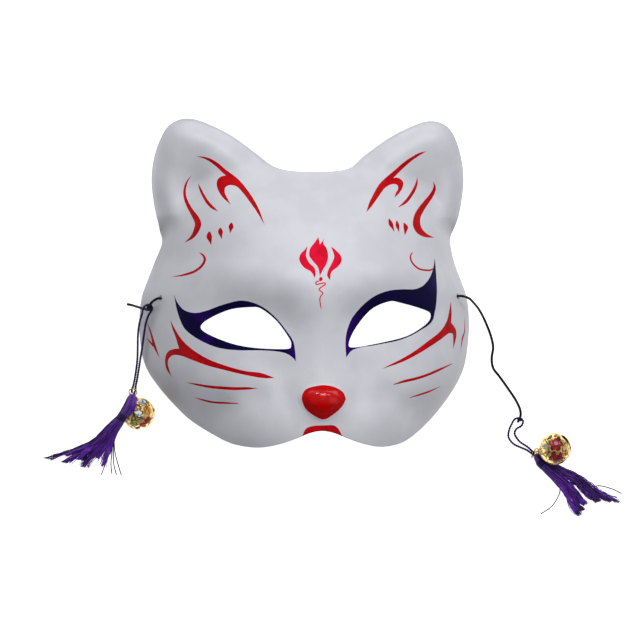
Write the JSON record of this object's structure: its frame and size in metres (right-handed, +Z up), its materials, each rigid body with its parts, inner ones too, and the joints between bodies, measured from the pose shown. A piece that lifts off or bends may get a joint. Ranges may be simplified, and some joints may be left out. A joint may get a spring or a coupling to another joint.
{
  "type": "half-face mask",
  "caption": "Half-face fox mask of thin moulded plastic with upright ears, cut eye openings and painted markings; a bell and a tassel hang on a cord at each side.",
  "frame": {"origin": "middle of the mask's bounding box, on the floor it lies on; the cords, bells and tassels are left out of the box", "axes": "+Z up out of the face, +Y towards the ears, +X to the right of someone looking at the face"},
  "size_m": [0.3184, 0.2157, 0.0802],
  "materials": {
    "shell_plastic": "satin off-white with painted strokes",
    "black_cord": "round braided cord",
    "purple_cord": "twisted rayon cord",
    "purple_thread": "glossy loose thread",
    "bell_gold": "polished with enamel blossoms",
    "ring_gold": "polished"
  },
  "bodies": {
    "root": {"mask_shell": "shell_plastic", "left_cord": "black_cord", "right_cord": "black_cord", "left_loop": "purple_cord", "right_loop": "purple_cord", "left_ring": "ring_gold", "left_bell": "bell_gold", "left_tassel": "purple_thread", "right_ring": "ring_gold", "right_bell": "bell_gold", "right_tassel": "purple_thread"}
  },
  "joints": []
}
